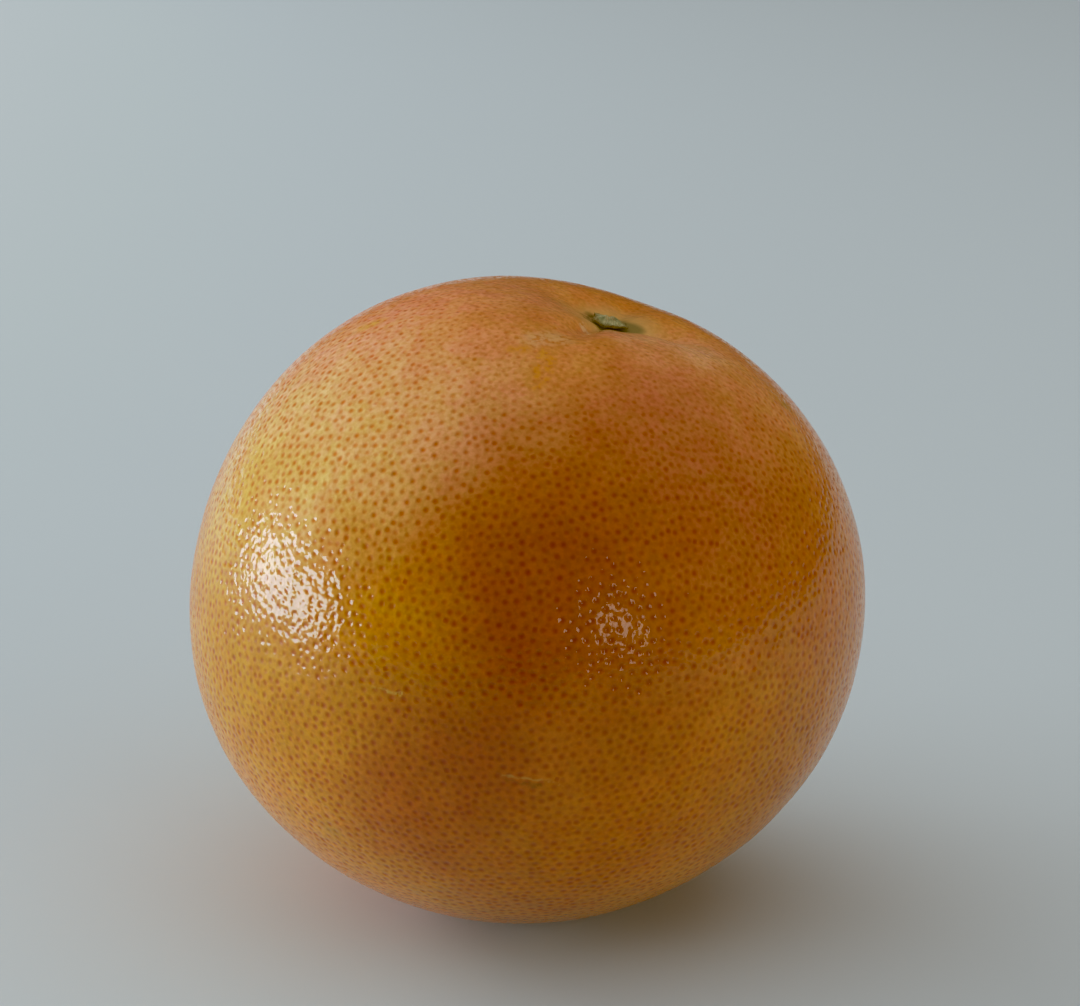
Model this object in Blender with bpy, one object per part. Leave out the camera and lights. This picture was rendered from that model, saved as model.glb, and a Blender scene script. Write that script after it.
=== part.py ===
"""A whole grapefruit, lying as it came to rest, with the dry button of its stalk.

The rind is an oblate body with a shallow hollow and four folds round the stalk, broad uneven
swells on its flanks, a small scar at the blossom end and a flat spot where it lies.
Oil pits cover it: each is a low point inside a ring of higher rind. They are modelled larger
and fewer than on a real rind, with the relief and the even spread of the real ones.

Metres, +Z up. The origin is the centre of the flat spot that the fruit rests on.
"""

import math

import bmesh
import bpy
import numpy as np
from mathutils import Vector

# Body, measured along the fruit's own axis from the stalk to the blossom end.
EQUATOR_RADIUS = 0.052
POLE_RATIO = 0.935
LEAN = math.radians(16.0)          # the axis leans towards +X
SEAT_DEPTH = 0.0009                # how far the weight has flattened the underside

# Hollow round the stalk, its inner cup, and the scar at the blossom end.
HOLLOW_DEPTH, HOLLOW_REACH = 0.0034, 0.0108
CUP_DEPTH, CUP_RADIUS = 0.0009, 0.0046
SCAR_DEPTH, SCAR_REACH = 0.0010, 0.0050

# Folds running out from the stalk: azimuth, half width (degrees) and depth.
FOLDS = (
    (-116.0, 13.0, 0.0018),
    (-3.0, 20.0, 0.0015),
    (72.0, 18.0, 0.0010),
    (160.0, 22.0, 0.0004),
)
FOLD_PEAK = 0.0098                 # distance from the stalk at which a fold is deepest

# Broad swells: azimuth, latitude, reach (degrees) and height.
SWELLS = (
    (10.0, 45.0, 36.0, 0.0012),
    (180.0, 50.0, 36.0, 0.0008),
    (180.0, 5.0, 36.0, -0.0014),
    (190.0, -40.0, 36.0, 0.0014),
    (-10.0, -40.0, 36.0, -0.0011),
    (270.0, -65.0, 40.0, 0.0009),
)

# Oil pits.
PIT_COUNT = 1800
PIT_RELIEF = 0.00022               # each pit sinks, and each rim rises, by this much
PIT_RIM_ANGLE = math.radians(12.0)  # edges that turn more than this are shaded sharp
PIT_NUDGE = 0.35                   # largest shift off an even spread, in pit spacings
PIT_SEED = 11
PIT_SETTLING = 3                   # passes that even out the crowded pits again
PLAIN_STALK_REACH = 0.0062         # no pits nearer the stalk than this
PLAIN_SCAR_REACH = 0.0066          # nor nearer the middle of the blossom scar than this
SEAT_CLEARANCE = 0.0080            # pits fade out over this width round the flat spot
CUP_RINGS = ((0.0016, 6), (0.0032, 12), (0.0048, 18))
SCAR_RINGS = ((0.0022, 7), (0.0046, 14))

# Stalk button: a woody disc with five short dry lobes, bedded in the cup.
BUTTON_GAP = 0.00032
BUTTON_RADIUS = 0.0029
BUTTON_LOBES = 5
BUTTON_LOBE_REACH = 0.13           # lobe length over the mean radius
BUTTON_RIM_THICKNESS = 0.00035
BUTTON_CROWN_HEIGHT = 0.0011
BUTTON_SCAR_RADIUS = 0.0014
BUTTON_SCAR_DEPTH = 0.0003
BUTTON_EDGE_ANGLE = math.radians(40.0)
BUTTON_SPOKES = 40
BUTTON_RINGS = 8

GOLDEN_ANGLE = math.pi * (3.0 - math.sqrt(5.0))


def clear_scene():
    for existing in list(bpy.data.objects):
        bpy.data.objects.remove(existing, do_unlink=True)


def direction(azimuth, latitude):
    """Unit vector in the fruit's own frame; the stalk is at latitude 90 degrees."""
    azimuth, latitude = math.radians(azimuth), math.radians(latitude)
    return np.array((
        math.cos(latitude) * math.cos(azimuth),
        math.cos(latitude) * math.sin(azimuth),
        math.sin(latitude),
    ))


def bell(distance, reach):
    return np.exp(-(distance / reach) ** 2)


def skin_radius(directions):
    """Distance from the fruit's centre to the smooth rind along each unit direction."""
    height = directions[:, 2]
    from_stalk = EQUATOR_RADIUS * np.arccos(np.clip(height, -1.0, 1.0))
    from_blossom = EQUATOR_RADIUS * math.pi - from_stalk
    radius = EQUATOR_RADIUS / np.sqrt(1.0 - height ** 2 + (height / POLE_RATIO) ** 2)
    radius = radius - HOLLOW_DEPTH * bell(from_stalk, HOLLOW_REACH)
    radius = radius - CUP_DEPTH * bell(from_stalk, CUP_RADIUS)
    radius = radius - SCAR_DEPTH * bell(from_blossom, SCAR_REACH)

    azimuth = np.degrees(np.arctan2(directions[:, 1], directions[:, 0]))
    along_fold = (from_stalk / FOLD_PEAK) ** 2 * np.exp(1.0 - (from_stalk / FOLD_PEAK) ** 2)
    for fold_azimuth, half_width, depth in FOLDS:
        turn = (azimuth - fold_azimuth + 180.0) % 360.0 - 180.0
        radius = radius - depth * bell(turn, half_width) * along_fold

    for swell_azimuth, swell_latitude, reach, swell_height in SWELLS:
        cosine = directions @ direction(swell_azimuth, swell_latitude)
        angle = np.degrees(np.arccos(np.clip(cosine, -1.0, 1.0)))
        radius = radius + swell_height * bell(angle, reach)
    return radius


def even_directions(count):
    """Unit directions spread evenly over a sphere on a golden-angle spiral."""
    index = np.arange(count) + 0.5
    height = 1.0 - 2.0 * index / count
    ring = np.sqrt(1.0 - height ** 2)
    return np.stack((
        ring * np.cos(GOLDEN_ANGLE * index),
        ring * np.sin(GOLDEN_ANGLE * index),
        height,
    ), axis=1)


def leaned(points):
    """Turn points from the fruit's own frame into the frame it lies in."""
    cosine, sine = math.cos(LEAN), math.sin(LEAN)
    across, up = points[:, 0], points[:, 2]
    return np.stack((
        cosine * across + sine * up,
        points[:, 1],
        cosine * up - sine * across,
    ), axis=1)


def seat_centre():
    """Centre of the flat spot, seen from the fruit's centre, on the smooth rind."""
    samples = even_directions(40000)
    rind = leaned(samples * skin_radius(samples)[:, None])
    cut_height = rind[:, 2].min() + SEAT_DEPTH
    flattened = rind[rind[:, 2] < cut_height]
    return np.array((flattened[:, 0].mean(), flattened[:, 1].mean(), cut_height))


def spanning_triangles(directions):
    """Triangles that join neighbouring directions: the faces of their convex hull."""
    hull = bmesh.new()
    for position in directions:
        hull.verts.new(position)
    hull.verts.ensure_lookup_table()
    hull.verts.index_update()
    bmesh.ops.convex_hull(hull, input=hull.verts[:], use_existing_faces=False)
    bmesh.ops.triangulate(hull, faces=hull.faces[:])
    bmesh.ops.recalc_face_normals(hull, faces=hull.faces[:])
    return hull


def settled(directions):
    """Move each direction to the middle of the ones around it."""
    hull = spanning_triangles(directions)
    middles = []
    for vertex in hull.verts:
        around = sum((edge.other_vert(vertex).co for edge in vertex.link_edges), Vector())
        middles.append(around.normalized())
    hull.free()
    return np.array(middles)


def pit_directions():
    """Pit centres, nudged off the even spread, and plain rings at both ends of the axis."""
    pits = even_directions(PIT_COUNT)
    spacing = math.sqrt(4.0 * math.pi / PIT_COUNT)
    nudge = np.random.default_rng(PIT_SEED).uniform(-1.0, 1.0, pits.shape)
    pits = pits + PIT_NUDGE * spacing * nudge
    pits = pits / np.linalg.norm(pits, axis=1, keepdims=True)
    for _ in range(PIT_SETTLING):
        pits = settled(pits)
    from_stalk = EQUATOR_RADIUS * np.arccos(np.clip(pits[:, 2], -1.0, 1.0))
    from_blossom = EQUATOR_RADIUS * math.pi - from_stalk
    pits = pits[(from_stalk > PLAIN_STALK_REACH) & (from_blossom > PLAIN_SCAR_REACH)]

    plain = []
    for pole, rings in ((1.0, CUP_RINGS), (-1.0, SCAR_RINGS)):
        plain.append((0.0, 0.0, pole))
        for distance, count in rings:
            latitude = pole * (90.0 - math.degrees(distance / EQUATOR_RADIUS))
            plain += [direction(360.0 * step / count, latitude) for step in range(count)]
    return pits, np.array(plain)


def ringed_net(hull):
    """Directions and triangles in which each hull corner sits inside a ring of rim corners.

    A rim corner stands at the middle of each hull triangle, and each hull edge is replaced
    by the edge between the rim corners on its two sides.
    """
    centres = [vertex.co.copy() for vertex in hull.verts]
    rims = [face.calc_center_median().normalized() for face in hull.faces]
    hull.faces.index_update()
    first_rim = len(centres)
    triangles = []
    for edge in hull.edges:
        for loop in edge.link_loops:
            here = first_rim + loop.face.index
            beyond = first_rim + loop.link_loop_radial_next.face.index
            triangles.append((loop.vert.index, beyond, here))
    return np.array(centres + rims), triangles, first_rim


def rind_mesh(seat):
    pits, plain = pit_directions()
    hull = spanning_triangles(np.concatenate((pits, plain)))
    directions, triangles, first_rim = ringed_net(hull)
    hull.free()

    relief = np.full(len(directions), PIT_RELIEF)
    relief[:len(pits)] = -PIT_RELIEF
    relief[len(pits):first_rim] = 0.0
    from_stalk = EQUATOR_RADIUS * np.arccos(np.clip(directions[:, 2], -1.0, 1.0))
    relief *= np.clip((from_stalk - CUP_RADIUS) / CUP_RADIUS, 0.0, 1.0)

    radius = skin_radius(directions)
    place = leaned(directions * radius[:, None]) - seat
    seat_radius = math.sqrt(2.0 * EQUATOR_RADIUS * SEAT_DEPTH)
    from_seat = np.hypot(place[:, 0], place[:, 1]) - seat_radius
    low = place[:, 2] < EQUATOR_RADIUS
    relief *= np.where(low, np.clip(from_seat / SEAT_CLEARANCE, 0.0, 1.0), 1.0)
    place = leaned(directions * (radius + relief)[:, None]) - seat

    rind = bmesh.new()
    corners = [rind.verts.new(corner) for corner in place]
    for triangle in triangles:
        rind.faces.new([corners[index] for index in triangle])
    flatten_seat(rind)
    return rind


def flatten_seat(rind):
    """Cut the underside off level at z = 0 and close it with one flat face."""
    cut = bmesh.ops.bisect_plane(
        rind,
        geom=rind.verts[:] + rind.edges[:] + rind.faces[:],
        dist=0.0001,
        plane_co=(0.0, 0.0, 0.0),
        plane_no=(0.0, 0.0, -1.0),
        use_snap_center=True,
        clear_outer=True,
    )
    outline = [item for item in cut["geom_cut"] if isinstance(item, bmesh.types.BMEdge)]
    bmesh.ops.contextual_create(rind, geom=outline)
    bmesh.ops.recalc_face_normals(rind, faces=rind.faces[:])


def button_outline(spoke_angle):
    """Radius of the button's edge: five lobes, uneven as dry sepals are."""
    lobes = math.cos(BUTTON_LOBES * spoke_angle + 0.6)
    uneven = 0.35 * math.sin(2.0 * spoke_angle + 0.9) + 0.25 * math.sin(3.0 * spoke_angle)
    return BUTTON_RADIUS * (1.0 + BUTTON_LOBE_REACH * (lobes + uneven))


def button_point(distance, spoke_angle, above_skin, seat):
    """Point above the rind, at a distance from the stalk along one azimuth."""
    latitude = 90.0 - math.degrees(distance / EQUATOR_RADIUS)
    outward = direction(math.degrees(spoke_angle), latitude)[None, :]
    radius = skin_radius(outward)[0] + above_skin
    return Vector((leaned(outward * radius) - seat)[0])


def button_thickness(distance, edge):
    """Crowned woody disc that thins to its lobes, with the sunken scar of the stalk."""
    share = distance / edge
    crown = BUTTON_CROWN_HEIGHT * (1.0 - share ** 2) ** 1.5
    scar = BUTTON_SCAR_DEPTH * math.exp(-(distance / BUTTON_SCAR_RADIUS) ** 4)
    return BUTTON_RIM_THICKNESS + crown - scar


def button_mesh(seat):
    button = bmesh.new()
    spokes = [2.0 * math.pi * step / BUTTON_SPOKES for step in range(BUTTON_SPOKES)]
    grids = {}
    for side in ("under", "upper"):
        rows = []
        for ring in range(1, BUTTON_RINGS + 1):
            row = []
            for spoke in spokes:
                edge = button_outline(spoke)
                distance = edge * ring / BUTTON_RINGS
                lift = BUTTON_GAP
                if side == "upper":
                    lift += button_thickness(distance, edge)
                row.append(button.verts.new(button_point(distance, spoke, lift, seat)))
            rows.append(row)
        lift = BUTTON_GAP
        if side == "upper":
            lift += button_thickness(0.0, BUTTON_RADIUS)
        grids[side] = (button.verts.new(button_point(0.0, 0.0, lift, seat)), rows)

    for middle, rows in grids.values():
        for step in range(BUTTON_SPOKES):
            after = (step + 1) % BUTTON_SPOKES
            button.faces.new((middle, rows[0][step], rows[0][after]))
            for inner, outer in zip(rows, rows[1:]):
                button.faces.new((inner[step], outer[step], outer[after], inner[after]))
    under_edge, upper_edge = grids["under"][1][-1], grids["upper"][1][-1]
    for step in range(BUTTON_SPOKES):
        after = (step + 1) % BUTTON_SPOKES
        button.faces.new((under_edge[step], under_edge[after], upper_edge[after], upper_edge[step]))
    bmesh.ops.triangulate(button, faces=button.faces[:])
    bmesh.ops.recalc_face_normals(button, faces=button.faces[:])
    return button


def add_piece(name, shape, sharp_angle, colour, roughness):
    """Make a named object of its own colour from a closed bmesh."""
    mesh = bpy.data.meshes.new(name)
    shape.to_mesh(mesh)
    shape.free()
    mesh.shade_smooth()
    mesh.set_sharp_from_angle(angle=sharp_angle)
    material = bpy.data.materials.new(name)
    material.use_nodes = True
    finish = material.node_tree.nodes["Principled BSDF"]
    finish.inputs["Base Color"].default_value = (*colour, 1.0)
    finish.inputs["Roughness"].default_value = roughness
    finish.inputs["Metallic"].default_value = 0.0
    mesh.materials.append(material)
    piece = bpy.data.objects.new(name, mesh)
    bpy.context.scene.collection.objects.link(piece)
    return piece


clear_scene()
seat_middle = seat_centre()
add_piece(
    "fruit",
    rind_mesh(seat_middle),
    sharp_angle=PIT_RIM_ANGLE,
    colour=(0.42, 0.14, 0.018),
    roughness=0.38,
)
add_piece(
    "stalk_button",
    button_mesh(seat_middle),
    sharp_angle=BUTTON_EDGE_ANGLE,
    colour=(0.20, 0.18, 0.10),
    roughness=0.80,
)
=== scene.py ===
import math

import bmesh
import bpy
import numpy as np
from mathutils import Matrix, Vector, noise


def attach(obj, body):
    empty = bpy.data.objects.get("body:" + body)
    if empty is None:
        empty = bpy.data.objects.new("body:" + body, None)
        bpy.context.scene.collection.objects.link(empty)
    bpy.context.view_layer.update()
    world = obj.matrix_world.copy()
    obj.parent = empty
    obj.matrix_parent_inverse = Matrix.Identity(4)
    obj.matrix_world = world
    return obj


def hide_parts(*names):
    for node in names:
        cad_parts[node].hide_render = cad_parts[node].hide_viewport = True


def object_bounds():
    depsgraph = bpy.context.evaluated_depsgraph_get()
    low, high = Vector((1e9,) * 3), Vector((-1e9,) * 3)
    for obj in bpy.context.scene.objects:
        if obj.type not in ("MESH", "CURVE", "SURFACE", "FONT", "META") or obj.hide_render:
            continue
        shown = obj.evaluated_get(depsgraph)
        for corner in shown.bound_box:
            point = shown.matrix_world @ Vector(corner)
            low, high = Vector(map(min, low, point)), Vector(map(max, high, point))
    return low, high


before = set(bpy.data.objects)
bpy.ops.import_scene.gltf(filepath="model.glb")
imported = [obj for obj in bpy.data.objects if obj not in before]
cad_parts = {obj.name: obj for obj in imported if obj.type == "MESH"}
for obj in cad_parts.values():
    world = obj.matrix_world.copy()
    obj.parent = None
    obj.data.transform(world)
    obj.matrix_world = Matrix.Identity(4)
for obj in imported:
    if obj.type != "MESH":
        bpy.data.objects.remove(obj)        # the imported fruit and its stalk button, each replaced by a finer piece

cad_low, cad_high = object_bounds()


# ---- Rind -------------------------------------------------------------------------------------
# A grapefruit's rind is one waxy skin over pith, full of oil glands that each show as a pit about
# 1.6 mm from the next. The uneven flattened ball grew with a folded hollow round its stalk and a
# small scar at the blossom end, and it leans as it came to rest.

EQUATOR_RADIUS = 0.052
POLE_RATIO = 0.935
LEAN = math.radians(16.0)
SEAT_DEPTH = 0.0009
HOLLOW_DEPTH, HOLLOW_REACH = 0.0034, 0.0108
CUP_DEPTH, CUP_RADIUS = 0.0009, 0.0046
SCAR_DEPTH, SCAR_REACH = 0.0010, 0.0050
FOLDS = (
    # azimuth, half width in degrees, depth
    (-116.0, 13.0, 0.0018),
    (-3.0, 20.0, 0.0015),
    (72.0, 18.0, 0.0010),
    (160.0, 22.0, 0.0004),
)
FOLD_PEAK = 0.0098                 # distance from the stalk at which the folds are deepest
SWELLS = (
    # azimuth, latitude, reach in degrees, height
    (10.0, 45.0, 36.0, 0.0012),
    (180.0, 50.0, 36.0, 0.0008),
    (180.0, 5.0, 36.0, -0.0014),
    (190.0, -40.0, 36.0, 0.0014),
    (-10.0, -40.0, 36.0, -0.0011),
    (270.0, -65.0, 40.0, 0.0009),
)
GOLDEN_ANGLE = math.pi * (3.0 - math.sqrt(5.0))


def direction(azimuth, latitude):
    """Unit vector from the fruit's centre; the stalk is at latitude 90 degrees."""
    azimuth, latitude = math.radians(azimuth), math.radians(latitude)
    return np.array((
        math.cos(latitude) * math.cos(azimuth),
        math.cos(latitude) * math.sin(azimuth),
        math.sin(latitude),
    ))


def bell(distance, reach):
    """Share that is one in the middle and dies away past its reach."""
    return np.exp(-(distance / reach) ** 2)


def from_stalk(directions):
    """Distance over the rind from the middle of the stalk."""
    return EQUATOR_RADIUS * np.arccos(np.clip(directions[:, 2], -1.0, 1.0))


def skin_radius(directions):
    """Distance from the fruit's centre to the smooth rind along each unit direction."""
    height = directions[:, 2]
    stalk_distance = from_stalk(directions)
    scar_distance = EQUATOR_RADIUS * math.pi - stalk_distance
    radius = EQUATOR_RADIUS / np.sqrt(1.0 - height ** 2 + (height / POLE_RATIO) ** 2)
    radius = radius - HOLLOW_DEPTH * bell(stalk_distance, HOLLOW_REACH)
    radius = radius - CUP_DEPTH * bell(stalk_distance, CUP_RADIUS)
    radius = radius - SCAR_DEPTH * bell(scar_distance, SCAR_REACH)

    azimuth = np.degrees(np.arctan2(directions[:, 1], directions[:, 0]))
    along_fold = (stalk_distance / FOLD_PEAK) ** 2
    along_fold = along_fold * np.exp(1.0 - along_fold)
    for fold_azimuth, half_width, depth in FOLDS:
        turn = (azimuth - fold_azimuth + 180.0) % 360.0 - 180.0
        radius = radius - depth * bell(turn, half_width) * along_fold

    for swell_azimuth, swell_latitude, reach, swell_height in SWELLS:
        cosine = directions @ direction(swell_azimuth, swell_latitude)
        angle = np.degrees(np.arccos(np.clip(cosine, -1.0, 1.0)))
        radius = radius + swell_height * bell(angle, reach)
    return radius


def even_directions(count):
    """Unit directions spread evenly over a sphere on a golden-angle spiral."""
    index = np.arange(count) + 0.5
    height = 1.0 - 2.0 * index / count
    ring = np.sqrt(1.0 - height ** 2)
    turn = GOLDEN_ANGLE * index
    return np.stack((ring * np.cos(turn), ring * np.sin(turn), height), axis=1)


def leaned(points):
    """Turn points from the fruit's own frame into the frame it lies in."""
    cosine, sine = math.cos(LEAN), math.sin(LEAN)
    across, up = points[:, 0], points[:, 2]
    return np.stack((
        cosine * across + sine * up,
        points[:, 1],
        cosine * up - sine * across,
    ), axis=1)


# The flat spot: where the leaned fruit is lowest. Its middle is the origin.
SEAT_SAMPLES = 40000
samples = even_directions(SEAT_SAMPLES)
rind_samples = leaned(samples * skin_radius(samples)[:, None])
cut_height = rind_samples[:, 2].min() + SEAT_DEPTH
flattened = rind_samples[rind_samples[:, 2] < cut_height]
seat = np.array((flattened[:, 0].mean(), flattened[:, 1].mean(), cut_height))

PIT_COUNT = 15500
PIT_NUDGE = 0.42                   # share of the spacing that a pit may stray before settling
PIT_SETTLING = 3
PIT_SEED = 5
PIT_DEPTH = 0.000075
FAINTEST_PIT = 0.50
CROWDING, CROWDING_REACH = 0.36, 0.0360      # pits draw closer and smaller towards the stalk
SEAT_CLEARANCE = 0.0050                      # pits and waves fade out over this to the flat spot


def joined(directions):
    """A closed skin of triangles through scattered directions, as a bmesh."""
    skin = bmesh.new()
    for position in directions:
        skin.verts.new(position)
    skin.verts.index_update()
    bmesh.ops.convex_hull(skin, input=skin.verts[:], use_existing_faces=False)
    bmesh.ops.triangulate(skin, faces=skin.faces[:])
    bmesh.ops.recalc_face_normals(skin, faces=skin.faces[:])
    return skin


def settled(directions):
    """Move each direction to the middle of the ones around it."""
    skin = joined(directions)
    middles = []
    for vertex in skin.verts:
        if vertex.link_edges:
            around = sum((edge.other_vert(vertex).co for edge in vertex.link_edges), Vector())
            middles.append(around.normalized())
    skin.free()
    return np.array(middles)


def crowding(directions):
    """Share of the usual pit spacing that is left, which falls towards the stalk."""
    return 1.0 - CROWDING * bell(from_stalk(directions), CROWDING_REACH)


def ring_of_faces(vertex):
    """Indices of the triangles round a vertex, in turning order."""
    first = vertex.link_loops[0]
    loop, ring = first, []
    while True:
        ring.append(loop.face.index)
        loop = loop.link_loop_prev.link_loop_radial_next
        if loop == first:
            return ring


random_draws = np.random.default_rng(PIT_SEED)
pit_centres = even_directions(PIT_COUNT)
pit_spacing = math.sqrt(4.0 * math.pi / PIT_COUNT)
pit_centres += PIT_NUDGE * pit_spacing * random_draws.uniform(-1.0, 1.0, pit_centres.shape)
pit_centres /= np.linalg.norm(pit_centres, axis=1, keepdims=True)
for _ in range(PIT_SETTLING):
    pit_centres = settled(pit_centres)
polar_angle = np.arccos(np.clip(pit_centres[:, 2], -1.0, 1.0))
crowded_angle = polar_angle * crowding(pit_centres)
pit_centres[:, :2] *= (np.sin(crowded_angle) / np.sin(polar_angle))[:, None]
pit_centres[:, 2] = np.cos(crowded_angle)

# Each pit is a many-sided cell round its centre: the triangles between neighbouring centres give
# the cell's corners, and poking the cell gives the pit's bottom.
pit_skin = joined(pit_centres)
pit_skin.faces.index_update()
rim_corners = [face.calc_center_median().normalized() * EQUATOR_RADIUS for face in pit_skin.faces]
cells = [ring_of_faces(vertex) for vertex in pit_skin.verts if vertex.link_loops]
pit_skin.free()

rind_mesh = bpy.data.meshes.new("rind")
rind_mesh.from_pydata(rim_corners, [], cells)
rind = bpy.data.objects.new("rind", rind_mesh)
bpy.context.scene.collection.objects.link(rind)
bpy.ops.object.select_all(action="DESELECT")
rind.select_set(True)
bpy.context.view_layer.objects.active = rind

bpy.ops.object.mode_set(mode="EDIT")
bpy.ops.mesh.select_mode(type="FACE")
bpy.ops.mesh.select_all(action="SELECT")
bpy.ops.mesh.normals_make_consistent(inside=False)
bpy.ops.mesh.poke()
bpy.ops.object.mode_set(mode="OBJECT")

# How strongly each pit shows: large pits among fainter ones, none on the stalk's cup or on the
# flat spot. Every triangle has two corners on its pit's rim and one at the bottom.
first_bottom = len(rim_corners)
corners = np.empty(len(rind_mesh.loops), dtype=int)
rind_mesh.loops.foreach_get("vertex_index", corners)
pit_of_corner = np.repeat(corners.reshape(-1, 3).max(axis=1), 3)

places = np.empty(3 * len(rind_mesh.vertices))
rind_mesh.vertices.foreach_get("co", places)
directions = places.reshape(-1, 3)
directions = directions / np.linalg.norm(directions, axis=1, keepdims=True)

strength = np.zeros(len(directions))
strength[first_bottom:] = random_draws.uniform(FAINTEST_PIT, 1.0, len(cells))
strength *= np.clip((from_stalk(directions) - CUP_RADIUS) / CUP_RADIUS, 0.0, 1.0)

# Low waves under the pits, and creases that gather towards the stalk.
WAVE_LENGTH, WAVE_HEIGHT = 0.0090, 0.00009
CREASE_LENGTH, CREASE_HEIGHT, CREASE_REACH = 0.0034, 0.00007, 0.0330
on_body = directions * EQUATOR_RADIUS
waves = np.array([noise.noise(Vector(spot) / WAVE_LENGTH) for spot in on_body])
creases = np.array([noise.noise(Vector(spot) / CREASE_LENGTH) for spot in on_body])
crease_share = bell(from_stalk(directions), CREASE_REACH)
relief = WAVE_HEIGHT * waves - CREASE_HEIGHT * np.abs(creases) * crease_share

radius = skin_radius(directions)
smooth = leaned(directions * radius[:, None]) - seat
seat_radius = math.sqrt(2.0 * EQUATOR_RADIUS * SEAT_DEPTH)
seat_distance = np.hypot(smooth[:, 0], smooth[:, 1]) - seat_radius
under = smooth[:, 2] < EQUATOR_RADIUS / 2.0
seat_share = np.where(under, np.clip(seat_distance / SEAT_CLEARANCE, 0.0, 1.0), 1.0)
strength *= seat_share * crowding(directions)
relief = relief * seat_share - PIT_DEPTH * strength
lying = leaned(directions * (radius + relief)[:, None]) - seat
rind_mesh.vertices.foreach_set("co", lying.ravel())

# The finish reads how far a spot is from the middle of its pit, for the usual pit size, and the
# pit's strength.
from_pit = smooth[corners] - smooth[pit_of_corner]
from_pit = from_pit / crowding(directions[pit_of_corner])[:, None]
pit_offset = rind_mesh.attributes.new("pit_offset", "FLOAT_VECTOR", "CORNER")
pit_offset.data.foreach_set("vector", from_pit.ravel())
pit_strength = rind_mesh.attributes.new("pit_strength", "FLOAT", "CORNER")
pit_strength.data.foreach_set("value", strength[pit_of_corner])

bpy.ops.object.mode_set(mode="EDIT")
bpy.ops.mesh.select_all(action="SELECT")
bpy.ops.mesh.bisect(
    plane_co=(0.0, 0.0, 0.0),
    plane_no=(0.0, 0.0, -1.0),
    use_fill=True,
    clear_outer=True,
    threshold=0.000001,
)
bpy.ops.object.mode_set(mode="OBJECT")
bpy.ops.object.shade_smooth()

# A map for baking: six charts, three across and two up, one for each side of a box round the
# fruit's middle.
CHART_MARGIN = 1.05
body_centre = -seat
spots = np.empty(3 * len(rind_mesh.vertices))
rind_mesh.vertices.foreach_get("co", spots)
spots = spots.reshape(-1, 3) - body_centre
middles = np.empty(3 * len(rind_mesh.polygons))
rind_mesh.polygons.foreach_get("center", middles)
middles = middles.reshape(-1, 3) - body_centre
corners = np.empty(len(rind_mesh.loops), dtype=int)
rind_mesh.loops.foreach_get("vertex_index", corners)
face_sizes = np.empty(len(rind_mesh.polygons), dtype=int)
rind_mesh.polygons.foreach_get("loop_total", face_sizes)

axis = np.abs(middles).argmax(axis=1)
side = np.take_along_axis(middles, axis[:, None], axis=1)[:, 0] > 0.0
axis, side = np.repeat(axis, face_sizes), np.repeat(side, face_sizes)
corner_spots = spots[corners]
rows = np.arange(len(corners))
outward = np.abs(corner_spots[rows, axis])
across = corner_spots[rows, (axis + 1) % 3] / outward * np.where(side, 1.0, -1.0)
upward = corner_spots[rows, (axis + 2) % 3] / outward
chart = np.stack((np.arctan(across), np.arctan(upward)), axis=1) * 4.0 / math.pi / CHART_MARGIN
chart = (chart + 1.0) / 2.0
chart[:, 0] = (chart[:, 0] + axis) / 3.0
chart[:, 1] = (chart[:, 1] + side) / 2.0
rind_mesh.uv_layers.new(name="OFBake").data.foreach_set("uv", chart.ravel())

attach(rind, "root")
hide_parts("fruit")


def node(tree, kind, inputs=(), **settings):
    """Add a shader node, set its options, and link or set its inputs."""
    made = tree.nodes.new(kind)
    for name, value in settings.items():
        setattr(made, name, value)
    for name, value in dict(inputs).items():
        if isinstance(value, bpy.types.NodeSocket):
            tree.links.new(value, made.inputs[name])
        else:
            made.inputs[name].default_value = value
    return made


def worked_out(tree, operation, *values):
    """Result of a maths node."""
    return node(tree, "ShaderNodeMath", enumerate(values), operation=operation).outputs[0]


def grown(tree, spot, scale, detail, roughness=0.5):
    """Cloudy noise over a place; its outputs are Fac and Color."""
    return node(tree, "ShaderNodeTexNoise", {
        "Vector": spot, "Scale": scale, "Detail": detail, "Roughness": roughness}).outputs


def strayed(tree, spot, scale, detail, width):
    """A place moved about by noise, so that what is measured from it gets wandering edges."""
    shake = node(tree, "ShaderNodeVectorMath", {
        0: grown(tree, spot, scale, detail)["Color"], 1: (0.5, 0.5, 0.5),
    }, operation="SUBTRACT").outputs["Vector"]
    return node(tree, "ShaderNodeVectorMath", {
        0: shake, 1: (width, width, width), 2: spot,
    }, operation="MULTIPLY_ADD").outputs["Vector"]


def apart(tree, spot, other):
    """Distance between two places."""
    return node(
        tree, "ShaderNodeVectorMath", {0: spot, 1: other}, operation="DISTANCE").outputs["Value"]


def faded(tree, value, none_at, full_at, strength=1.0):
    """Soft share that rises from zero at one value to its strength at another."""
    fade = node(tree, "ShaderNodeMapRange", {
        "Value": value, "From Min": none_at, "From Max": full_at, "To Max": strength,
    }, interpolation_type="SMOOTHSTEP")
    return fade.outputs["Result"]


def mixed(tree, share, first, second, blend_type="MIX"):
    """Colour between two colours, each a socket or red, green and blue."""
    first, second = (
        colour if isinstance(colour, bpy.types.NodeSocket) else (*colour, 1.0)
        for colour in (first, second))
    blend = node(
        tree, "ShaderNodeMix", {0: share, 6: first, 7: second},
        data_type="RGBA", blend_type=blend_type)
    return blend.outputs[2]


def tinted(tree, colour, tint):
    """Colour multiplied by a tint."""
    return mixed(tree, 1.0, colour, tint, "MULTIPLY")


def on_rind(azimuth, latitude):
    """Place on the lying fruit's rind in a direction from the fruit's centre."""
    toward = direction(azimuth, latitude)[None, :]
    return Vector(leaned(toward * skin_radius(toward)[:, None])[0] - seat)


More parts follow.
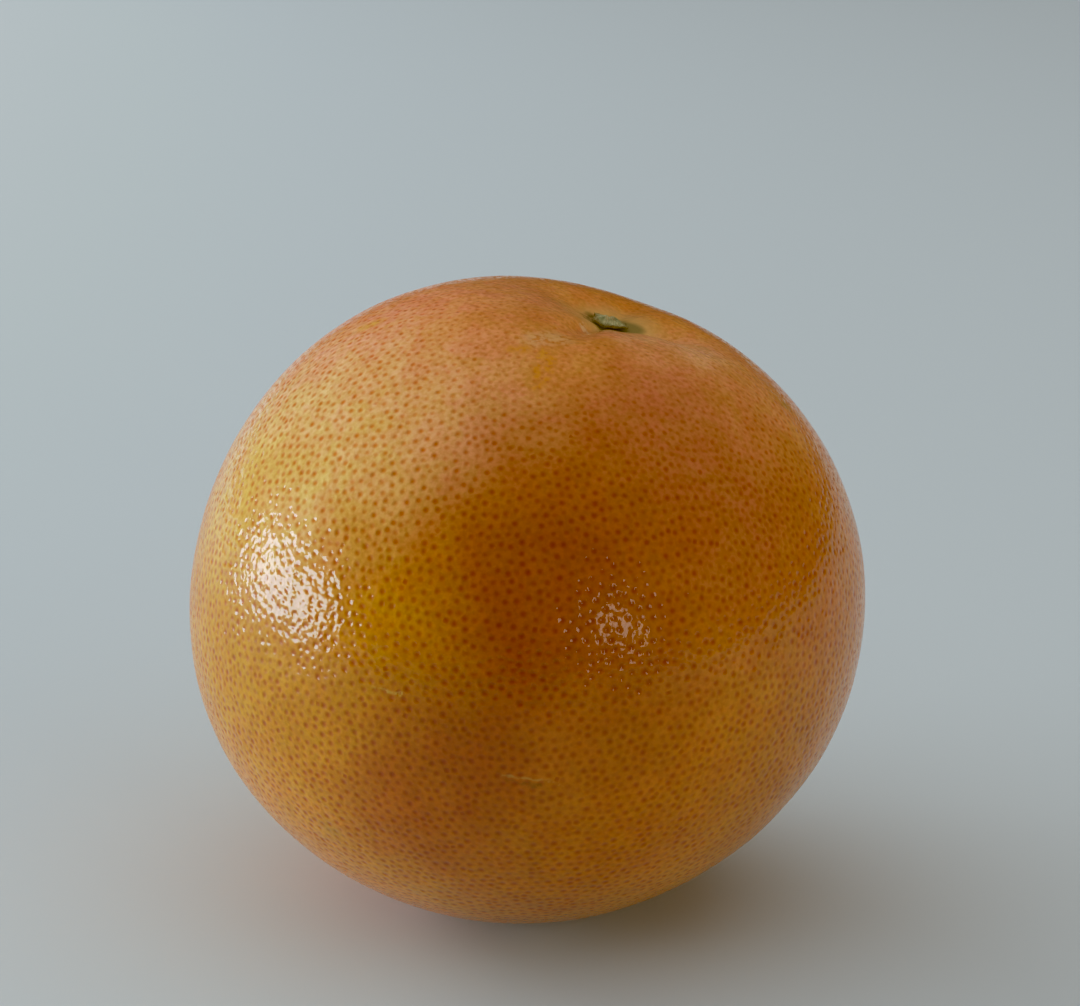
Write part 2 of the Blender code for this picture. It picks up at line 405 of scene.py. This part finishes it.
rind_finish = bpy.data.materials.new("waxy rind")
rind_finish.use_nodes = True
tree = rind_finish.node_tree
shader = tree.nodes["Principled BSDF"]
place = node(tree, "ShaderNodeTexCoord").outputs["Object"]

# Ground colour and the broad soft patches of blush and gold that the sun left on it, with painted
# sheen on the pale left shoulder and painted shade on the deep front.
GROUND_COLOUR = (0.62, 0.22, 0.01)
BLUSH_SHEEN_AND_SHADE = (
    # azimuth, latitude, reach in degrees, strength, colour
    # The pale left shoulder is partly painted sheen over the rind's own paler colour.
    (-150.0, 52.0, 62.0, 1.0, (0.74, 0.29, 0.095)),         # pale left shoulder
    (-172.0, 48.0, 40.0, 0.8, (0.78, 0.29, 0.13)),          # coral edge of it
    (-162.0, 24.0, 30.0, 0.8, (0.76, 0.43, 0.19)),
    (-142.0, 60.0, 16.0, 0.7, (0.66, 0.20, 0.04)),
    (-72.0, 62.0, 34.0, 0.9, (0.62, 0.185, 0.06)),          # coral fold in front of the stalk
    (-66.0, 64.0, 14.0, 0.7, (0.52, 0.140, 0.045)),
    (-15.0, 60.0, 36.0, 0.8, (0.70, 0.29, 0.09)),
    (-20.0, 76.0, 12.0, 0.8, (0.87, 0.45, 0.20)),           # tan skin stretched beside the stalk
    (-70.0, 75.5, 7.0, 0.8, (0.90, 0.42, 0.17)),
    (-113.0, 66.0, 16.0, 0.8, (0.71, 0.29, 0.06)),          # gold in the furrow
    (-134.0, 42.0, 30.0, 0.8, (0.80, 0.38, 0.13)),
    (-138.0, 24.0, 28.0, 0.8, (0.78, 0.43, 0.11)),
    # The deep orange front and the red-brown below it are darkened partly as painted shade.
    (-88.0, 30.0, 40.0, 1.0, (0.38, 0.082, 0.006)),         # deep orange front
    (-55.0, 40.0, 36.0, 0.8, (0.44, 0.125, 0.04)),
    (-35.0, 25.0, 34.0, 0.7, (0.44, 0.125, 0.012)),
    (-97.0, 12.0, 24.0, 0.9, (0.36, 0.067, 0.0)),
    (-108.0, 2.0, 14.0, 0.7, (0.33, 0.045, 0.0)),
    (-98.0, -8.0, 32.0, 0.9, (0.33, 0.047, 0.0)),           # red-brown below it
    (-101.0, -24.0, 22.0, 0.8, (0.44, 0.084, 0.0)),
    (-68.0, -14.0, 34.0, 0.9, (0.52, 0.125, 0.0)),          # gold low on the right
    (-76.0, -34.0, 26.0, 0.8, (0.51, 0.126, 0.0)),
    (-74.0, 6.0, 20.0, 0.6, (0.36, 0.070, 0.0)),
    (-40.0, -4.0, 30.0, 0.7, (0.425, 0.132, 0.0)),
    (-118.0, 8.0, 26.0, 0.8, (0.54, 0.203, 0.0)),           # olive gold on the left
    (-146.0, -10.0, 36.0, 0.9, (0.52, 0.22, 0.0)),
    (-160.0, 12.0, 22.0, 0.7, (0.69, 0.36, 0.05)),
    (20.0, 8.0, 44.0, 0.7, (0.58, 0.18, 0.01)),             # the far side
    (60.0, 38.0, 56.0, 0.8, (0.70, 0.25, 0.06)),
    (128.0, 48.0, 40.0, 0.7, (0.76, 0.32, 0.10)),
    (118.0, -12.0, 48.0, 0.7, (0.66, 0.27, 0.015)),
    (72.0, -8.0, 30.0, 0.7, (0.55, 0.13, 0.004)),
    (0.0, -90.0, 44.0, 0.9, (0.85, 0.19, 0.06)),            # round the blossom scar
)
BLUSH_WANDER_SCALE, BLUSH_WANDER_WIDTH = 55.0, 0.018
wander = strayed(tree, place, BLUSH_WANDER_SCALE, detail=4.0, width=BLUSH_WANDER_WIDTH)
skin = GROUND_COLOUR
for azimuth, latitude, reach, strength, colour in BLUSH_SHEEN_AND_SHADE:
    distance = apart(tree, wander, on_rind(azimuth, latitude))
    edge = EQUATOR_RADIUS * math.radians(reach)
    share = faded(tree, distance, none_at=edge, full_at=0.0, strength=strength)
    skin = mixed(tree, share, skin, colour)

# Pits: how far each one shows, and the stain in it, which is fainter near the stalk.
PIT_RADIUS = 0.00074
SMALLEST_PIT = 0.65                # share of that radius left at no strength
STAIN_BY_STALK = 0.42
STAIN_FAINT_AT, STAIN_FULL_AT = 0.010, 0.044      # distances from the stalk
offset = node(tree, "ShaderNodeAttribute", attribute_name="pit_offset").outputs["Vector"]
strength = node(tree, "ShaderNodeAttribute", attribute_name="pit_strength").outputs["Fac"]
distance = node(tree, "ShaderNodeVectorMath", {0: offset}, operation="LENGTH").outputs["Value"]
pit_reach = node(tree, "ShaderNodeMapRange", {
    "Value": strength, "To Min": SMALLEST_PIT * PIT_RADIUS, "To Max": PIT_RADIUS,
}).outputs["Result"]
from_middle = worked_out(tree, "DIVIDE", distance, pit_reach)
pit = worked_out(tree, "MULTIPLY", faded(tree, from_middle, none_at=1.0, full_at=0.0), strength)
stain = worked_out(tree, "MULTIPLY", faded(tree, from_middle, none_at=1.02, full_at=0.12), strength)
stalk_distance = apart(tree, wander, on_rind(0.0, 90.0))
stain = node(tree, "ShaderNodeMix", {
    0: faded(tree, stalk_distance, STAIN_FAINT_AT, STAIN_FULL_AT),
    2: worked_out(tree, "MULTIPLY", stain, STAIN_BY_STALK),
    3: stain,
}).outputs[0]

# Over the patches: a slow mottling, a flush of rose against green, and small faint glands.
MOTTLING_SCALE, FLUSH_SCALE, SMALL_GLAND_SCALE = 170.0, 230.0, 640.0
DULL_MOTTLE, FAIR_MOTTLE = (0.94, 0.90, 0.80), (1.06, 1.10, 1.20)
ROSE_FLUSH, GREEN_FLUSH = (1.02, 0.95, 1.02), (0.99, 1.04, 0.90)
SMALL_GLAND_TINT = (0.84, 0.74, 0.50)
mottling = grown(tree, place, MOTTLING_SCALE, detail=5.0, roughness=0.65)["Fac"]
skin = tinted(tree, skin, mixed(
    tree, faded(tree, mottling, none_at=0.30, full_at=0.70), DULL_MOTTLE, FAIR_MOTTLE))
flush = grown(tree, wander, FLUSH_SCALE, detail=3.0, roughness=0.6)["Fac"]
skin = tinted(tree, skin, mixed(
    tree, faded(tree, flush, none_at=0.36, full_at=0.64), ROSE_FLUSH, GREEN_FLUSH))
small_glands = node(tree, "ShaderNodeTexVoronoi", {
    "Vector": place, "Scale": SMALL_GLAND_SCALE}).outputs["Distance"]
small_glands = faded(tree, small_glands, none_at=0.34, full_at=0.12, strength=0.55)
skin = mixed(tree, small_glands, skin, tinted(tree, skin, SMALL_GLAND_TINT))

# Paler frosted skin between the pits, partly painted sheen, and deeper colour in them.
PALE_SKIN_AND_SHEEN_BETWEEN_PITS, IN_PITS = (1.08, 1.16, 1.40), (0.76, 0.42, 0.12)
FROST_SCALE = 1300.0
DULL_FROST, FAIR_FROST = (0.91, 0.88, 0.75), (1.09, 1.12, 1.25)
frost = grown(tree, place, FROST_SCALE, detail=2.0)["Fac"]
between = tinted(tree, skin, PALE_SKIN_AND_SHEEN_BETWEEN_PITS)
between = tinted(tree, between, mixed(
    tree, faded(tree, frost, none_at=0.30, full_at=0.70), DULL_FROST, FAIR_FROST))
skin = mixed(tree, stain, between, tinted(tree, skin, IN_PITS))

# Dry tan skin that greens towards the stalk's cup, where it turns dark as painted shade round the button.
DRY_TAN, CUP_GREEN_AND_SHADE = (0.66, 0.42, 0.15), (0.20, 0.17, 0.06)
tanned = faded(tree, stalk_distance, none_at=0.0105, full_at=0.0045, strength=0.75)
greened_and_shaded = faded(tree, stalk_distance, none_at=0.0052, full_at=0.0034, strength=0.85)
skin = mixed(tree, greened_and_shaded, mixed(tree, tanned, skin, DRY_TAN), CUP_GREEN_AND_SHADE)

# Rubs and flecks, and painted shade in the dip by the stalk: each runs between two directions,
# with a width, a strength and a colour, and is broken up by the frost.
MARKS_AND_SHADE = (
    ((-90.6, -9.0), (-85.2, -8.2), 0.0006, 0.7, (0.20, 0.06, 0.0)),       # brown lip of a scratch
    ((-91.4, -8.0), (-85.8, -7.1), 0.0005, 0.6, (0.52, 0.29, 0.05)),      # its pale rub
    ((-85.8, -7.1), (-81.3, -7.4), 0.0005, 0.3, (0.58, 0.28, 0.06)),
    ((-115.2, -1.2), (-112.7, -0.9), 0.0004, 0.4, (0.62, 0.40, 0.06)),
    ((-112.2, -0.8), (-110.1, -0.7), 0.0005, 0.6, (0.64, 0.44, 0.08)),
    ((-120.4, -33.3), (-119.2, -33.7), 0.0028, 0.4, (0.34, 0.20, 0.02)),  # olive bruise
    ((-173.5, 44.8), (-172.7, 48.0), 0.0018, 0.6, (0.74, 0.42, 0.04)),
    ((-112.5, 62.5), (-110.5, 59.5), 0.0011, 0.7, (0.72, 0.29, 0.010)),   # gold in the furrow
    ((-114.5, 59.5), (-112.5, 57.0), 0.0010, 0.7, (0.72, 0.29, 0.010)),
    ((-109.0, 57.5), (-110.5, 55.0), 0.0009, 0.6, (0.72, 0.29, 0.010)),
    ((-117.5, 63.5), (-115.5, 62.0), 0.0012, 0.6, (0.74, 0.35, 0.015)),
    ((-126.0, 60.5), (-122.5, 62.0), 0.0014, 0.7, (0.72, 0.29, 0.015)),
    # painted shade in the dip by the stalk, in dark olive
    ((150.0, 86.0), (-165.0, 84.5), 0.0017, 0.8, (0.14, 0.10, 0.02)),     # olive dip by the stalk
    ((-126.0, 81.0), (-116.0, 80.0), 0.0011, 0.7, (0.82, 0.58, 0.32)),    # pale scuffs
    ((-123.9, 65.4), (-117.5, 69.0), 0.0032, 0.5, (0.80, 0.54, 0.26)),    # pale scuff
    ((-9.7, 56.1), (-6.0, 54.8), 0.0015, 0.6, (0.40, 0.24, 0.04)),
    ((42.0, 20.0), (46.0, 14.0), 0.0006, 0.7, (0.62, 0.42, 0.16)),
    ((104.0, -8.0), (101.0, -3.0), 0.0005, 0.7, (0.64, 0.44, 0.18)),
    ((148.0, 30.0), (149.0, 31.0), 0.0022, 0.5, (0.36, 0.20, 0.03)),
)
MARK_RAGGED_SCALE, MARK_RAGGED_WIDTH = 700.0, 0.0016
ragged = strayed(tree, place, MARK_RAGGED_SCALE, detail=2.0, width=MARK_RAGGED_WIDTH)
for start, end, width, strength, colour in MARKS_AND_SHADE:
    start, end = on_rind(*start), on_rind(*end)
    run = end - start
    past_start = node(tree, "ShaderNodeVectorMath", {
        0: ragged, 1: start}, operation="SUBTRACT").outputs["Vector"]
    along = node(tree, "ShaderNodeVectorMath", {
        0: past_start, 1: run / run.length_squared}, operation="DOT_PRODUCT").outputs["Value"]
    along = node(tree, "ShaderNodeClamp", {"Value": along}).outputs["Result"]
    nearest = node(tree, "ShaderNodeVectorMath", {
        0: run, "Scale": along}, operation="SCALE").outputs["Vector"]
    on_mark = faded(
        tree, apart(tree, past_start, nearest), none_at=width, full_at=0.0, strength=strength)
    share = worked_out(tree, "MULTIPLY", on_mark, faded(tree, frost, none_at=0.34, full_at=0.50))
    skin = mixed(tree, share, skin, colour)
tree.links.new(skin, shader.inputs["Base Color"])

# Relief: the pits, and the skin's own low unevenness between them, coarser on the left side.
GRAIN_SCALE, GRAIN_HEIGHT = 400.0, 0.00021
COARSE_SIDE = (-158.0, 14.0)       # azimuth and latitude of that side's middle
COARSER_HEIGHT = 0.00014
COARSER_FROM, COARSER_FULL = 0.042, 0.016         # distances from that middle
grain = grown(tree, place, GRAIN_SCALE, detail=2.0, roughness=0.54)["Fac"]
sunk = worked_out(tree, "MULTIPLY", pit, -PIT_DEPTH)
coarse_distance = apart(tree, place, on_rind(*COARSE_SIDE))
coarser = faded(tree, coarse_distance, COARSER_FROM, COARSER_FULL, COARSER_HEIGHT)
grain_height = worked_out(tree, "ADD", coarser, GRAIN_HEIGHT)
height = worked_out(tree, "MULTIPLY_ADD", grain, grain_height, sunk)
bump = node(tree, "ShaderNodeBump", {"Height": height, "Distance": 1.0}).outputs["Normal"]
tree.links.new(bump, shader.inputs["Normal"])
tree.links.new(bump, shader.inputs["Coat Normal"])

# The wax: a clear thin coat over a duller skin.
shader.inputs["Roughness"].default_value = 0.50
shader.inputs["Specular IOR Level"].default_value = 0.2
shader.inputs["Coat Weight"].default_value = 0.80
shader.inputs["Coat Roughness"].default_value = 0.08
rind_mesh.materials.append(rind_finish)


# ---- Stalk button ------------------------------------------------------------------------------
# What is left of the stalk: a dry woody calyx of five curled sepals, thin at the rim and crowned
# round the sunken scar where the stalk came away. It lies just clear of the rind in its cup.

BUTTON_GAP = 0.00032
BUTTON_RADIUS = 0.0029
BUTTON_SPOKES, BUTTON_RINGS = 130, 26
SEPALS, SEPAL_START, SEPAL_REACH = 5, 0.6, 0.13
RAGGED_RIM = (
    # waves round the rim, start of the first in radians, share of a sepal's reach
    (2.0, 0.9, 0.35),
    (3.0, 0.0, 0.25),
    (17.0, 1.3, 0.20),
    (29.0, 0.0, 0.12),
)
RIM_THICKNESS = 0.00026
CROWN_HEIGHT = 0.00100
LIP_RADIUS, LIP_HEIGHT, LIP_WIDTH = 0.00125, 0.00032, 0.00030     # raised ring round the scar
STUMP_DEPTH, STUMP_REACH = 0.00075, 0.00085                       # sunken scar inside it
STUMP_FLOOR = 0.00022
FIBRES, FIBRE_SLANT, FIBRE_HEIGHT = 23.0, 9.0, 0.00004
FIBRE_RADIUS, FIBRE_REACH = 0.0010, 0.0009
MIDRIB_HEIGHT = 0.00016
SEPAL_CURL, CURL_START = 0.00025, 2.2
CRUMPLE_LENGTH, CRUMPLE_HEIGHT = 0.00085, 0.00026
CRISP_ANGLE = math.radians(50.0)   # bends sharper than this keep a crisp edge

ring_share = np.arange(1, BUTTON_RINGS + 1)[:, None] / BUTTON_RINGS
turn = (2.0 * math.pi * np.arange(BUTTON_SPOKES) / BUTTON_SPOKES)[None, :]
lobes = np.cos(SEPALS * turn + SEPAL_START)
rim = lobes + sum(share * np.sin(waves * turn + start) for waves, start, share in RAGGED_RIM)
reach = ring_share * BUTTON_RADIUS * (1.0 + SEPAL_REACH * rim)
turns = np.broadcast_to(turn, reach.shape)
shares = np.broadcast_to(ring_share, reach.shape)

crown = CROWN_HEIGHT * (1.0 - shares ** 2) ** 1.5
lip = LIP_HEIGHT * bell(reach - LIP_RADIUS, LIP_WIDTH)
stump = STUMP_DEPTH * bell(reach, STUMP_REACH)
fibres = FIBRE_HEIGHT * np.sin(FIBRES * turns + FIBRE_SLANT * shares)
fibres = fibres * bell(reach - FIBRE_RADIUS, FIBRE_REACH)
midribs = MIDRIB_HEIGHT * lobes * shares ** 2 * (1.0 - shares ** 4)
curl = SEPAL_CURL * shares ** 3 * (0.5 + 0.5 * np.sin(2.0 * turns + CURL_START))

outward = np.stack((
    np.sin(reach / EQUATOR_RADIUS) * np.cos(turns),
    np.sin(reach / EQUATOR_RADIUS) * np.sin(turns),
    np.cos(reach / EQUATOR_RADIUS),
), axis=-1).reshape(-1, 3)
crumple = np.array([
    noise.noise(Vector(spot) * EQUATOR_RADIUS / CRUMPLE_LENGTH) for spot in outward])
crumple = CRUMPLE_HEIGHT * np.clip(crumple, -0.5, 0.5) * shares.ravel()
skin_there = skin_radius(outward)
under_lift = BUTTON_GAP + curl.ravel() + np.clip(crumple, 0.0, None)
upper_lift = under_lift + RIM_THICKNESS + np.clip(
    (crown + lip - stump + fibres + midribs).ravel() + crumple, 0.0, None)
middle = np.array(((0.0, 0.0, 1.0),))
middle_skin = skin_radius(middle)
button_points = np.concatenate((
    leaned(outward * (skin_there + upper_lift)[:, None]),
    leaned(outward * (skin_there + under_lift)[:, None]),
    leaned(middle * (middle_skin + BUTTON_GAP + RIM_THICKNESS + STUMP_FLOOR)[:, None]),
    leaned(middle * (middle_skin + BUTTON_GAP)[:, None]),
)) - seat

# Faces: the upper side, the under side and the rim between them.
side_count = BUTTON_RINGS * BUTTON_SPOKES
upper_middle, under_middle = 2 * side_count, 2 * side_count + 1
button_faces = []
for spoke in range(BUTTON_SPOKES):
    after = (spoke + 1) % BUTTON_SPOKES
    button_faces.append((upper_middle, spoke, after))
    button_faces.append((under_middle, side_count + after, side_count + spoke))
    for ring in range(BUTTON_RINGS - 1):
        inner, outer = ring * BUTTON_SPOKES, (ring + 1) * BUTTON_SPOKES
        button_faces.append((inner + spoke, outer + spoke, outer + after, inner + after))
        inner, outer = inner + side_count, outer + side_count
        button_faces.append((inner + after, outer + after, outer + spoke, inner + spoke))
    outer = (BUTTON_RINGS - 1) * BUTTON_SPOKES
    button_faces.append((
        outer + spoke, side_count + outer + spoke, side_count + outer + after, outer + after))

button_mesh = bpy.data.meshes.new("stalk_button_dry")
button_mesh.from_pydata(button_points, [], button_faces)
button = bpy.data.objects.new("stalk_button_dry", button_mesh)
bpy.context.scene.collection.objects.link(button)
bpy.ops.object.select_all(action="DESELECT")
button.select_set(True)
bpy.context.view_layer.objects.active = button
bpy.ops.object.mode_set(mode="EDIT")
bpy.ops.mesh.select_all(action="SELECT")
bpy.ops.mesh.normals_make_consistent(inside=False)
bpy.ops.object.mode_set(mode="OBJECT")
bpy.ops.object.shade_smooth_by_angle(angle=CRISP_ANGLE)

# The wood's streaks run outward from the scar: along them the share of the way out changes, and
# across them the turn round the button, stretched so that the streaks are narrow.
STREAK_STRETCH = 3.0
both_turns = np.concatenate((turns.ravel(), turns.ravel(), (0.0, 0.0)))
both_shares = np.concatenate((shares.ravel(), shares.ravel(), (0.0, 0.0)))
grain_run = np.stack((
    STREAK_STRETCH * np.cos(both_turns), STREAK_STRETCH * np.sin(both_turns), both_shares), axis=1)
run_attribute = button_mesh.attributes.new("grain_run", "FLOAT_VECTOR", "POINT")
run_attribute.data.foreach_set("vector", grain_run.ravel())

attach(button, "root")
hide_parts("stalk_button")

GREY_GREEN, PALE_STRAW = (0.30, 0.33, 0.17), (0.58, 0.56, 0.33)
BROWN_RIM, TAN_CROWN, DARK_SCAR = (0.24, 0.17, 0.06), (0.60, 0.46, 0.25), (0.22, 0.13, 0.05)
STREAK_SCALE, BLOTCH_SCALE = 2.6, 900.0
DARK_STREAK, LIGHT_STREAK = (0.55, 0.52, 0.45), (1.10, 1.10, 1.08)
STREAK_HEIGHT = 0.00012
button_finish = bpy.data.materials.new("dry calyx")
button_finish.use_nodes = True
tree = button_finish.node_tree
shader = tree.nodes["Principled BSDF"]
place = node(tree, "ShaderNodeTexCoord").outputs["Object"]
run = node(tree, "ShaderNodeAttribute", attribute_name="grain_run").outputs["Vector"]
out_share = node(tree, "ShaderNodeSeparateXYZ", {"Vector": run}).outputs["Z"]
streaks = grown(tree, run, STREAK_SCALE, detail=4.0, roughness=0.7)["Fac"]
blotches = grown(tree, place, BLOTCH_SCALE, detail=3.0)["Fac"]
wood = mixed(tree, faded(tree, blotches, none_at=0.35, full_at=0.65), GREY_GREEN, PALE_STRAW)
by_rim = faded(tree, out_share, none_at=0.62, full_at=1.0, strength=0.8)
by_crown = faded(tree, out_share, none_at=0.42, full_at=0.24, strength=0.9)
by_scar = faded(tree, out_share, none_at=0.16, full_at=0.06, strength=0.8)
wood = mixed(tree, by_rim, wood, BROWN_RIM)
wood = mixed(tree, by_crown, wood, TAN_CROWN)
wood = mixed(tree, by_scar, wood, DARK_SCAR)
wood = tinted(tree, wood, mixed(
    tree, faded(tree, streaks, none_at=0.30, full_at=0.65), DARK_STREAK, LIGHT_STREAK))
tree.links.new(wood, shader.inputs["Base Color"])
rough_height = worked_out(tree, "MULTIPLY", streaks, STREAK_HEIGHT)
bump = node(tree, "ShaderNodeBump", {"Height": rough_height, "Distance": 1.0}).outputs["Normal"]
tree.links.new(bump, shader.inputs["Normal"])
shader.inputs["Roughness"].default_value = 0.8
shader.inputs["Specular IOR Level"].default_value = 0.25
button_mesh.materials.append(button_finish)


# ---- Floor ------------------------------------------------------------------------------------
# A pale matt sheet, level and far wider than the view, so that it is the backdrop too. It lies a
# hair below the flat spot, so that the two never share a plane.

FLOOR_RADIUS = 4.0
FLOOR_DROP = 0.00002
SHEET_COLOUR = (0.592, 0.70, 0.745, 1.0)
bpy.ops.object.select_all(action="DESELECT")
bpy.ops.mesh.primitive_circle_add(
    vertices=96, radius=FLOOR_RADIUS, fill_type="NGON", location=(0.0, 0.0, -FLOOR_DROP))
sheet = bpy.context.object
sheet.name = "floor"
sheet_finish = bpy.data.materials.new("pale matt sheet")
sheet_finish.use_nodes = True
sheet_shader = sheet_finish.node_tree.nodes["Principled BSDF"]
sheet_shader.inputs["Base Color"].default_value = SHEET_COLOUR
sheet_shader.inputs["Roughness"].default_value = 0.9
sheet_shader.inputs["Specular IOR Level"].default_value = 0.2
sheet.data.materials.append(sheet_finish)


# ---- Lights -----------------------------------------------------------------------------------
# A broad window on the left, a narrow dim doorway in front to the right, and soft light from
# above. The panels and the ceiling only fill the shadows, so they don't show in the wax.

LIGHTS = (
    # name, place, aimed at, width, height, watts, colour, seen in gloss
    ("window", (-1.44, -0.06, 0.19), (0.0, 0.0, 0.10), 1.05, 0.36, 12.5, (0.92, 1.0, 1.06), True),
    ("rear_panel", (-1.2, 0.9, 0.40), (0.0, 0.0, 0.05), 1.2, 0.6, 11.6, (0.97, 1.0, 1.03), False),
    ("ceiling", (-0.15, 0.0, 1.5), (0.0, 0.0, 0.0), 3.0, 3.0, 19.5, (1.0, 1.0, 1.0), False),
    ("right_panel", (1.2, -0.45, 0.36), (0.0, 0.0, 0.05), 1.2, 0.6, 4.2, (1.0, 0.88, 0.74), False),
    ("doorway", (0.665, -1.09, 0.355), (0.0, 0.0, 0.05), 0.16, 0.34, 0.66, (1.0, 0.93, 0.86), True),
)
for name, place, aim, width, height, watts, colour, in_gloss in LIGHTS:
    bpy.ops.object.light_add(type="AREA", location=place)
    lamp = bpy.context.object
    lamp.name = name
    lamp.rotation_euler = (Vector(aim) - Vector(place)).to_track_quat("-Z", "Y").to_euler()
    lamp.data.shape = "RECTANGLE"
    lamp.data.size, lamp.data.size_y = width, height
    lamp.data.energy = watts
    lamp.data.color = colour
    lamp.visible_glossy = in_gloss

ROOM_COLOUR, ROOM_STRENGTH = (0.64, 0.40, 0.36, 1.0), 0.12
world = bpy.data.worlds.new("room")
world.use_nodes = True
world.node_tree.nodes["Background"].inputs["Color"].default_value = ROOM_COLOUR
world.node_tree.nodes["Background"].inputs["Strength"].default_value = ROOM_STRENGTH
bpy.context.scene.world = world

# The view: faintly deepened shadows, and bright tones eased down so that the wax stays white.
DEEPEST_TONES = (0.0, 0.005, 0.021)
SHOULDER_START, BRIGHTEST_TONE = 0.5, 0.80
view = bpy.context.scene.view_settings
view.view_transform = "Standard"
view.use_curve_mapping = True
view.curve_mapping.black_level = DEEPEST_TONES
brightness = view.curve_mapping.curves[3]
brightness.points.new(SHOULDER_START, SHOULDER_START).handle_type = "VECTOR"
brightness.points[-1].location = (1.0, BRIGHTEST_TONE)
view.curve_mapping.update()


# ---- Camera -----------------------------------------------------------------------------------
# A short telephoto view from in front and a little above. It is aimed over the fruit and a touch
# to its right, so that the fruit sits low and left in the frame.

CAMERA_DISTANCE = 0.45
CAMERA_ELEVATION = math.radians(21.0)
CAMERA_LENS = 97.0
AIM_OFFSET = (0.0019, 0.0, 0.0147)
NEAREST_SEEN = 0.02
fruit_middle = Vector((cad_low + cad_high) / 2.0)
back = Vector((0.0, -math.cos(CAMERA_ELEVATION), math.sin(CAMERA_ELEVATION)))
bpy.ops.object.camera_add(location=fruit_middle + back * CAMERA_DISTANCE)
camera = bpy.context.object
sight = fruit_middle + Vector(AIM_OFFSET) - camera.location
camera.rotation_euler = sight.to_track_quat("-Z", "Y").to_euler()
camera.data.lens = CAMERA_LENS
camera.data.clip_start = NEAREST_SEEN
bpy.context.scene.camera = camera
